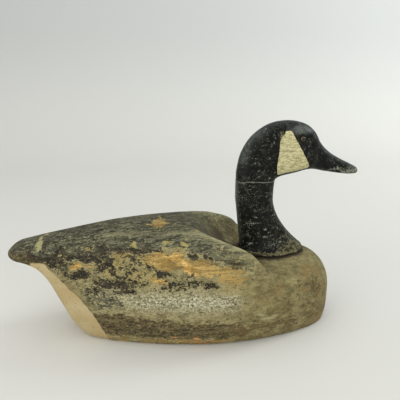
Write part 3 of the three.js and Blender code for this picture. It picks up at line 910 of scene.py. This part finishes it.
def lay(tree, paint, *coats):
    """Coats laid over a paint, one after another: each is a colour and the masks that are multiplied."""
    for over, share, *more in coats:
        for mask in more:
            share = calculate(tree, "MULTIPLY", share, mask)
        paint = blend(tree, share, paint, over)
    return paint


# %% Groups and materials
def new_group(name, inputs, **outputs):
    """A shader node group with named sockets: its tree, its inputs' values and its outputs' sockets."""
    group = bpy.data.node_groups.new(name, "ShaderNodeTree")
    for socket, value in inputs.items():
        kind = "NodeSocketColor" if isinstance(value, tuple) else "NodeSocketFloat"
        group.interface.new_socket(socket, in_out="INPUT", socket_type=kind).default_value = value
    for socket, kind in outputs.items():
        group.interface.new_socket(socket, in_out="OUTPUT", socket_type="NodeSocket" + kind)
    print("group:", name)
    return group, group.nodes.new("NodeGroupInput").outputs, group.nodes.new("NodeGroupOutput").inputs


def place(tree, group, **inputs):
    """Puts a group into a tree and returns what it puts out."""
    inputs = {name: as_mask(tree, value) for name, value in inputs.items()}
    return add(tree, "ShaderNodeGroup", inputs, node_tree=group).outputs[0]


def new_paint(name, gloss):
    """A material of one Principled BSDF with some sockets set; returns it, its tree and the shader."""
    material = bpy.data.materials.new(name)
    material.use_nodes = True
    tree = material.node_tree
    tree.nodes.clear()
    skin = add(tree, "ShaderNodeBsdfPrincipled", gloss)
    add(tree, "ShaderNodeOutputMaterial", {"Surface": skin.outputs[0]})
    return material, tree, skin


def feed_skin(tree, skin, paint, roughness, height, strength):
    """Links the colour, the roughness, and the height as a bump, to the shader."""
    relief = add(tree, "ShaderNodeBump", {"Height": height, "Strength": strength, "Distance": 0.6 * MM})
    for socket, value in (("Base Color", paint), ("Roughness", roughness), ("Normal", relief.outputs[0])):
        tree.links.new(value, skin.inputs[socket])
    print("nodes in the material:", len(tree.nodes))


# %% [markdown]
# ## Effects that the paints share
#
# **Drawn noise** is noise that is pulled out along the bird, as brush strokes and weathered grain
# are. **Flakes** turns a map of how much is left into crisp islands of paint: the map shifts a noise
# up or down and a narrow step cuts it. **Specks** is a sparse scatter of small dots. **Old wood** is
# the bare block itself, ochre with long streaks. All read Object coordinates, so nothing slides.

# %% Drawn noise
drawn, given, result = new_group(
    "Drawn noise", {"Size": 8.0, "Stretch": 1.0, "Detail": 4.0, "Roughness": 0.6, "Shift": 0.0},
    Value="Float")
where = add(drawn, "ShaderNodeTexCoord").outputs["Object"]
squeeze = add(drawn, "ShaderNodeCombineXYZ", {
    "X": calculate(drawn, "DIVIDE", 1.0, given["Stretch"]), "Y": 1.0, "Z": 1.0}).outputs[0]
squeezed = add(drawn, "ShaderNodeVectorMath", {0: where, 1: squeeze}, operation="MULTIPLY").outputs[0]
moved = add(drawn, "ShaderNodeVectorMath", {0: squeezed, 1: given["Shift"]}, operation="ADD").outputs[0]
grain = add(drawn, "ShaderNodeTexNoise", {
    "Vector": moved, "Scale": calculate(drawn, "DIVIDE", 1000.0, given["Size"]),
    "Detail": given["Detail"], "Roughness": given["Roughness"]})
drawn.links.new(grain.outputs[0], result["Value"])


def noise(tree, size, stretch, detail, roughness, shift):
    """Drawn noise in a tree, with grains of a size in millimetres; each shift gives another pattern."""
    return place(tree, drawn, Size=size, Stretch=stretch, Detail=detail, Roughness=roughness, Shift=shift)


# %% Flakes
flakes, given, result = new_group(
    "Flakes", {"Left": 0.5, "Size": 8.0, "Stretch": 2.0, "Edge": 0.03, "Shift": 0.0}, Mask="Float")
clumps = noise(flakes, given["Size"], given["Stretch"], 2.5, 0.95, given["Shift"])
cut_low, cut_high = (calculate(flakes, operation, 0.5, given["Edge"]) for operation in ("SUBTRACT", "ADD"))
islands = between(flakes, frayed(flakes, clumps, 0.4, given["Left"]), cut_low, cut_high)
flakes.links.new(islands, result["Mask"])


def flake_mask(tree, left, size, stretch, edge, shift):
    """Flakes in a tree: 1 where the paint is left, with a step as soft as the edge."""
    return place(tree, flakes, Left=left, Size=size, Stretch=stretch, Edge=edge, Shift=shift)


# %% Specks
specks, given, result = new_group(
    "Specks", {"Amount": 0.2, "Size": 3.0, "Stretch": 1.0, "Shift": 0.0}, Mask="Float")
fine = noise(specks, given["Size"], given["Stretch"], 1.5, 0.5, given["Shift"])
cut = summed(specks, 0.78, (given["Amount"], -0.3))
dots = between(specks, fine, cut, calculate(specks, "ADD", cut, 0.05))
specks.links.new(dots, result["Mask"])


def speck_mask(tree, amount, size, stretch, shift):
    """Specks in a tree: 1 in the dots, and more of them the larger the amount."""
    return place(tree, specks, Amount=amount, Size=size, Stretch=stretch, Shift=shift)


# %% Old wood
old_wood, given, result = new_group(
    "Old wood", {"Pale": colour(174, 147, 86), "Deep": colour(122, 100, 54), "Glow": 0.0}, Color="Color")
long_grain, broad = noise(old_wood, 5, 9, 5, 0.6, 3), noise(old_wood, 30, 3, 3, 0.5, 7)
tone = between(old_wood, summed(old_wood, 0, (long_grain, 0.7), (broad, 0.3)), 0.42, 0.6)
plain = blend(old_wood, tone, given["Deep"], given["Pale"])
bright = blend(old_wood, tone, (176, 138, 68), (228, 190, 116))
old_wood.links.new(blend(old_wood, given["Glow"], plain, bright), result["Color"])

# %% [markdown]
# ## The body's paint
#
# The body was painted in three stages: a drab primer, a dark grey-brown coat on the back and flank,
# and a cream rump. They are laid over the wood in that order, each through its own flakes, so that a
# deep chip shows wood and a shallow one shows primer. The bump follows the same masks, because paint
# has thickness. One could paint an image instead, but a procedure stays sharp at any distance.

# %% The body's noises, the wood and the primer
worn_paint, tree, skin = new_paint("worn_body_paint", {"Specular IOR Level": 0.3})
broad = noise(tree, 45, 2, 3, 0.55, 1)
mottle = noise(tree, 10, 1.8, 6, 0.8, 5)
crumb = noise(tree, 4.2, 1.3, 4, 0.75, 13)
streak = noise(tree, 4.6, 13, 2.6, 0.85, 9)
woven = summed(tree, 0, (crumb, 0.4), (streak, 0.6))
wood = lay(
    tree, place(tree, old_wood, Glow=calculate(tree, "MULTIPLY", "glow", (crumb, 0.4, 0.54))),
    ((124, 100, 56), 0.6, speck_mask(tree, 0.6, 3.4, 1.6, 71)))
primer = lay(
    tree, blend(tree, (mottle, 0.42, 0.58), (106, 97, 62), (148, 137, 96)),
    ((172, 164, 122), 0.6, (crumb, 0.52, 0.62)), ((155, 139, 87), "yellow", (mottle, 0.36, 0.5)))

# %% The back's coat, the chalky bloom and the black flakes
calm_coat = blend(tree, (woven, 0.42, 0.58), (62, 63, 45), (110, 107, 79))
coat = lay(
    tree, blend(tree, (woven, 0.44, 0.56), (50, 48, 35), (112, 110, 86)),
    ((82, 80, 61), 0.62, (broad, 0.4, 0.58)), (calm_coat, 0.75, "calm"),
    ((144, 141, 108), 0.75, speck_mask(tree, 0.52, 4, 2.2, 21)),
    ((168, 164, 126), 0.8, speck_mask(tree, 0.3, 7, 2.6, 23)),
    ((48, 43, 32), 0.7, speck_mask(tree, 0.66, 5, 4, 27)))
bloom = blend(tree, (noise(tree, 2.8, 1.3, 2, 0.8, 33), 0.44, 0.58), (134, 129, 99), (204, 199, 168))
black_flake = blend(tree, (mottle, 0.46, 0.6), (32, 26, 14), (68, 62, 44))

# %% Lay them over the wood
worn_away = "bare"
for name, share in (("edge_worn", 0.58), ("tail_worn", 0.66), ("orange_edge", 1)):
    worn_away = calculate(tree, "MAXIMUM", worn_away, calculate(tree, "MULTIPLY", name, share))
primer_left = flake_mask(tree, calculate(tree, "SUBTRACT", 1, worn_away), 11, 1.7, 0.03, 2)
coat_left = flake_mask(tree, summed(tree, "back", (worn_away, -0.9)), 7, 2.2, 0.02, 17)
coat_gone = calculate(tree, "SUBTRACT", 1, coat_left)
flakes_here = summed(tree, "flaked", (worn_away, -0.35))
fewer_here = calculate(tree, "SUBTRACT", flakes_here, 0.04)
large_flakes = flake_mask(tree, flakes_here, 11, 1.6, 0.012, 4)
flakes_left = calculate(tree, "MAXIMUM", large_flakes, flake_mask(tree, fewer_here, 5, 1.3, 0.015, 6))
painted = lay(
    tree, wood, (primer, primer_left), (bloom, "chalk", (mottle, 0.38, 0.48)), (coat, coat_left),
    ((164, 154, 88), coat_gone, "chips"), (black_flake, flakes_left))

# %% The smudged breast, the brown stain with painted shade under the tail, and the pits
smudge = noise(tree, 20, 2, 7, 0.84, 31)
breast = lay(
    tree, blend(tree, (mottle, 0.38, 0.6), (100, 91, 56), (139, 129, 86)),
    ((152, 140, 96), 0.66, (smudge, 0.5, 0.62)), ((84, 74, 45), 0.75, (smudge, 0.5, 0.38)))
brown = lay(
    tree, blend(tree, (woven, 0.43, 0.57), (38, 29, 14), (100, 86, 54)),
    ((118, 106, 74), 0.5, (crumb, 0.53, 0.62)), ((98, 77, 42), 0.6, "front"))
pits = speck_mask(tree, summed(tree, 0.44, ("chalk", 0.22)), 3, 1.4, 8)
painted = lay(
    tree, painted, (breast, "front", (mottle, 0.3, 0.45)),
    ((125, 100, 58), 0.7, "warm", (mottle, 0.36, 0.54)),
    # The brown is a stain on the flank and breast and, under the tail, painted shade.
    (brown, 0.88, flake_mask(tree, "stain", 7, 3, 0.06, 41)),
    ((192, 138, 82), "orange_edge", (crumb, 0.35, 0.5)), ((62, 55, 38), 0.8, pits))

# %% The rubbed ridges with a painted highlight, the bar on the tail and the grit
bar = frayed(tree, "tail_bar", 3.2, crumb)
grit = noise(tree, 3, 1.5, 2, 0.8, 81)
gritty = calculate(tree, "MULTIPLY", (smudge, 0.42, 0.6), 0.34)
# The first coat is rubbed paint with a painted highlight along the ridges and the back.
painted = lay(
    tree, painted, ((166, 161, 120), "rubbed", (woven, 0.38, 0.52)),
    ((166, 160, 112), 0.85, (bar, 0.42, 0.6)), ((134, 123, 84), "beside_rump", (mottle, 0.36, 0.5)),
    ((56, 49, 32), gritty, (grit, 0.54, 0.64)), ((172, 162, 120), gritty, (grit, 0.46, 0.36)))

# %% The cream rump, a painted shadow at its edge, and the painted shade
cream = lay(
    tree, blend(tree, (broad, 0.38, 0.62), (174, 154, 110), (184, 168, 128)),
    ((112, 84, 48), 0.6, speck_mask(tree, 0.42, 3.5, 1, 12)))
rump_edge = frayed(tree, "rump", 9, mottle)
cream_mask = between(tree, rump_edge, -0.5, 0.6)
# A painted shadow darkens a thin band just outside the cream's edge. The last coat, dark brown, is painted
# shade in the crack, the hollows and under the tail.
painted = lay(
    tree, painted, ((104, 90, 56), 0.5, (rump_edge, -3, -0.6)), (cream, cream_mask),
    ((38, 31, 18), 0.92, calculate(tree, "MINIMUM", "dirt", 1)))

# %% The body's gloss and relief
thickness = summed(tree, primer_left, (flakes_left, 0.6), (mottle, 0.9), (crumb, 0.6), (streak, 0.5))
matt = summed(tree, 0.86, (flakes_left, -0.1), (cream_mask, -0.12))
feed_skin(tree, skin, painted, matt, thickness, 0.6)
body.data.materials.append(worn_paint)

# %% [markdown]
# ## The black of the neck and head
#
# One satin black covers neck and head, with the cheek patch in cream over it. It carries a painted grey
# sheen along the nape and on the forehead, and it is pricked with pale specks, gone at the foot of the
# neck and scuffed under the tip of the bill. Painted shade darkens it round the eyes and along the
# crack at the foot. A thin line of pale glue shows where the head was set on. Neck and head are two
# pieces, but they share one material, because the paint runs over the joint.

# %% The black, its painted sheen, specks, curly scratches and pale dashes
black_paint, tree, skin = new_paint("worn_black_paint", {"Specular IOR Level": 0.12})
broad, mottle = noise(tree, 26, 1, 3, 0.55, 1), noise(tree, 6, 1.2, 4, 0.85, 5)
clusters = calculate(tree, "MULTIPLY", (noise(tree, 24, 1, 3, 0.6, 51), 0.42, 0.62), "scuffed")
curls = calculate(tree, "ABSOLUTE", calculate(tree, "SUBTRACT", noise(tree, 9, 1.3, 3, 0.7, 11), 0.5))
# The grey coat laid through the sheen map is a painted sheen.
black = lay(
    tree, blend(tree, (broad, 0.38, 0.62), (5, 6, 3), (14, 15, 10)),
    ((48, 51, 40), 0.5, (mottle, 0.52, 0.62)), ((94, 98, 93), "rub", (mottle, 0.3, 0.54)),
    ((140, 142, 122), 0.8, clusters, speck_mask(tree, 0.52, 2.3, 1.1, 3)),
    ((112, 114, 98), 0.6, clusters, (curls, 0.016, 0.004)),
    ((138, 140, 124), 0.8, (frayed(tree, "dashes", 4.5, mottle), 0.5, 0.8)))

# %% Worn places, painted shade in the crack and round the eyes, the cheek patch and the glue line
under_black = blend(tree, (mottle, 0.42, 0.58), (48, 44, 30), (114, 109, 80))
gone = flake_mask(tree, "worn", 5, 1.4, 0.05, 4)
patch = lay(
    tree, blend(tree, (noise(tree, 2.6, 3, 3, 0.8, 61), 0.4, 0.56), (152, 144, 102), (202, 195, 151)),
    ((122, 115, 72), 0.5, speck_mask(tree, 0.6, 2.4, 2, 14)))
patch_mask = between(tree, frayed(tree, "cheek", 3, mottle), -0.35, 0.45)
glue_away = calculate(tree, "ABSOLUTE", frayed(tree, "joint", 12, broad))
# The near-black coat is painted shade, along the crack at the neck's foot and round each eye.
black = lay(
    tree, black, (under_black, gone), ((12, 10, 6), 0.9, "crack"), (patch, patch_mask),
    ((140, 141, 126), 0.7, (glue_away, 1.1, 0.35), (mottle, 0.36, 0.5)))

# %% The black paint's gloss and relief
satin = summed(tree, 0.3, (broad, 0.25), (calculate(tree, "MAXIMUM", gone, patch_mask), 0.3))
feed_skin(tree, skin, black, satin, summed(tree, mottle, (gone, -1.2), (patch_mask, 0.4)), 0.7)
for piece in (neck, head):
    piece.data.materials.append(black_paint)

# %% [markdown]
# ## The glass of the eyes
#
# From a step away the eye is nearly black with one brown gleam. A transparent ball with a painted
# back could be built, but at ten millimetres a dark, very glossy surface looks the same, and it
# survives an export. The map `from_pupil` gives pupil, iris and rim.

# %% The eyes' material
eye_glass, tree, skin = new_paint("dark_eye_glass", {
    "Roughness": 0.12, "Specular IOR Level": 0.3, "Coat Weight": 0.15, "Coat Roughness": 0.03})
iris = blend(tree, (noise(tree, 0.8, 1, 3, 0.6, 2), 0.35, 0.65), (34, 30, 17), (94, 84, 48))
glass = lay(tree, (5, 4, 3), (iris, ("from_pupil", 0.12, 0.18)), ((10, 9, 7), ("from_pupil", 0.3, 0.34)))
tree.links.new(glass, skin.inputs["Base Color"])
for piece in eyes.values():
    piece.data.materials.append(eye_glass)
print("eye glass:", len(tree.nodes), "nodes")

# %% [markdown]
# ## Floor and light
#
# The decoy stands on a pale floor that sweeps up into a pale wall far behind it, so there is no
# horizon. The wall is painted darker as it rises, a painted shade. The paint is matt, so soft light
# models the carving: a large square overhead, a fill from the front, a window low on the tail's side,
# and one more that brightens the wall on the right. The surroundings open up the shadows.

# %% The floor
floor_x, flat_y = np.linspace(-4000, 4000, 9), np.linspace(-3000, 1300, 20)
flat_end, sweep_radius, wall_height = flat_y[-1], 1200, 4000
swept = np.pi / 2 * np.linspace(0, 1, 60)[1:]
floor_y = np.concatenate([flat_y, flat_end + sweep_radius * np.sin(swept), [flat_end + sweep_radius]])
floor_z = np.concatenate([0 * flat_y, sweep_radius * (1 - np.cos(swept)), [wall_height]])
grid = np.stack(np.broadcast_arrays(floor_x[None, :], floor_y[:, None], floor_z[:, None]), -1)
number = np.arange(grid.size // 3).reshape(grid.shape[:2])
floor = new_piece("floor", grid.reshape(-1, 3), quads(number[:, 1:], number[:, :-1]).tolist())
pale_floor, tree, skin = new_paint("pale_floor", {"Roughness": 0.6})
where = add(tree, "ShaderNodeTexCoord").outputs["Object"]
height_here = add(tree, "ShaderNodeSeparateXYZ", {0: where}).outputs["Z"]
# The wall is painted darker as it rises: a painted shade.
floor_and_painted_wall_shade = blend(tree, (height_here, 0, 0.7), (222, 220, 213), (203, 203, 199))
tree.links.new(floor_and_painted_wall_shade, skin.inputs["Base Color"])
floor.data.materials.append(pale_floor)
print("floor:", len(floor.data.polygons), "faces")

# %% The light
for name, hung_at, aimed_at, size, power, tint in (  # in metres and watts
        ("overhead", (-0.6, -0.4, 2.1), (0.0, 0.0, 0.1), 2.6, 17.6, (1.0, 0.985, 0.95)),
        ("fill", (1.0, -2.1, 0.6), (0.1, 0.0, 0.1), 1.6, 13, (1.0, 0.99, 0.97)),
        ("window", (-1.7, -1.4, 0.6), (-0.25, 0.0, 0.08), 1.5, 15.5, (1.0, 0.985, 0.96)),
        ("backdrop", (2.4, 0.6, 1.6), (1.0, 2.0, 0.6), 1.2, 32, (0.94, 0.99, 1.0))):
    lamp = bpy.data.lights.new(name, "AREA")
    lamp.shape, lamp.size, lamp.energy, lamp.color = "SQUARE", size, power, tint
    put_in_scene(name, lamp, hung_at, aimed_at)

world = bpy.data.worlds.new("surroundings")
world.use_nodes = True
sky = world.node_tree.nodes["Background"].inputs
sky["Color"].default_value, sky["Strength"].default_value = (0.93, 0.97, 1.0, 1), 0.61
bpy.context.scene.world = world
bpy.context.scene.view_settings.view_transform = "Standard"

# %% [markdown]
# ## The finished pieces take the solids' place
#
# Every piece rides on the one rigid body, and the solid that it stands for is hidden. A finer surface
# must not make the object bigger.

# %% Ride and replace
for piece, node, slot in (
        (body, "body", "worn_paint"), (neck, "neck", "black_paint"), (head, "head", "black_paint"),
        (eyes["eye_right"], "eye_right", "eye_glass"), (eyes["eye_left"], "eye_left", "eye_glass")):
    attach(piece, "root")
    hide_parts(node)
